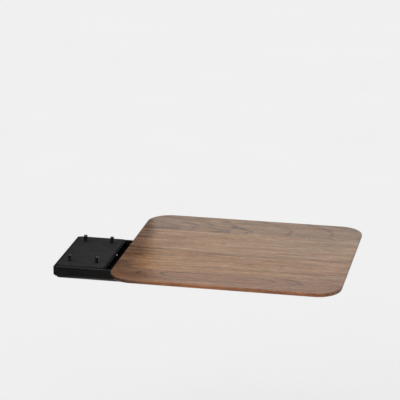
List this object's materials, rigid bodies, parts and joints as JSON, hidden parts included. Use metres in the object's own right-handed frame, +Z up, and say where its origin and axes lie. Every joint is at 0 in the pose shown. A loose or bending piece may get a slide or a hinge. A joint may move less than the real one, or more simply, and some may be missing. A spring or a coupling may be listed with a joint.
{
  "type": "bed-mounted nightstand shelf",
  "caption": "Floating nightstand: a thin-edged walnut board with rounded corners on a folded black steel tray that bolts up under the side rail of a bed.",
  "frame": {"origin": "middle of the rail seat, on the top face of its rubber pad, where the underside of the bed's rail lies", "axes": "+X away from the bed along the board's grain, +Y towards the headboard, +Z up"},
  "size_m": [0.5843, 0.41, 0.0493],
  "materials": {
    "walnut": "satin oiled walnut, grain along X",
    "black_powder_coat": "fine-textured black powder coat on folded steel",
    "rubber": "matt black sheet rubber",
    "black_zinc": "black zinc plate, half bright",
    "black_screw": "black oxide",
    "brass": "plain turned brass"
  },
  "bodies": {
    "root": {"top_board": "walnut", "bracket_tray": "black_powder_coat", "rail_plate": "black_powder_coat", "rail_pad": "rubber", "rail_bolt_1": "black_zinc", "rail_washer_1": "black_zinc", "rail_lock_washer_1": "black_zinc", "rail_bolt_2": "black_zinc", "rail_washer_2": "black_zinc", "rail_lock_washer_2": "black_zinc", "rail_bolt_3": "black_zinc", "rail_washer_3": "black_zinc", "rail_lock_washer_3": "black_zinc", "rail_bolt_4": "black_zinc", "rail_washer_4": "black_zinc", "rail_lock_washer_4": "black_zinc", "board_insert_1": "brass", "board_screw_1": "black_screw", "board_washer_1": "black_screw", "board_insert_2": "brass", "board_screw_2": "black_screw", "board_washer_2": "black_screw", "board_insert_3": "brass", "board_screw_3": "black_screw", "board_washer_3": "black_screw", "board_insert_4": "brass", "board_screw_4": "black_screw", "board_washer_4": "black_screw", "board_insert_5": "brass", "board_screw_5": "black_screw", "board_washer_5": "black_screw", "board_insert_6": "brass", "board_screw_6": "black_screw", "board_washer_6": "black_screw"}
  },
  "joints": []
}
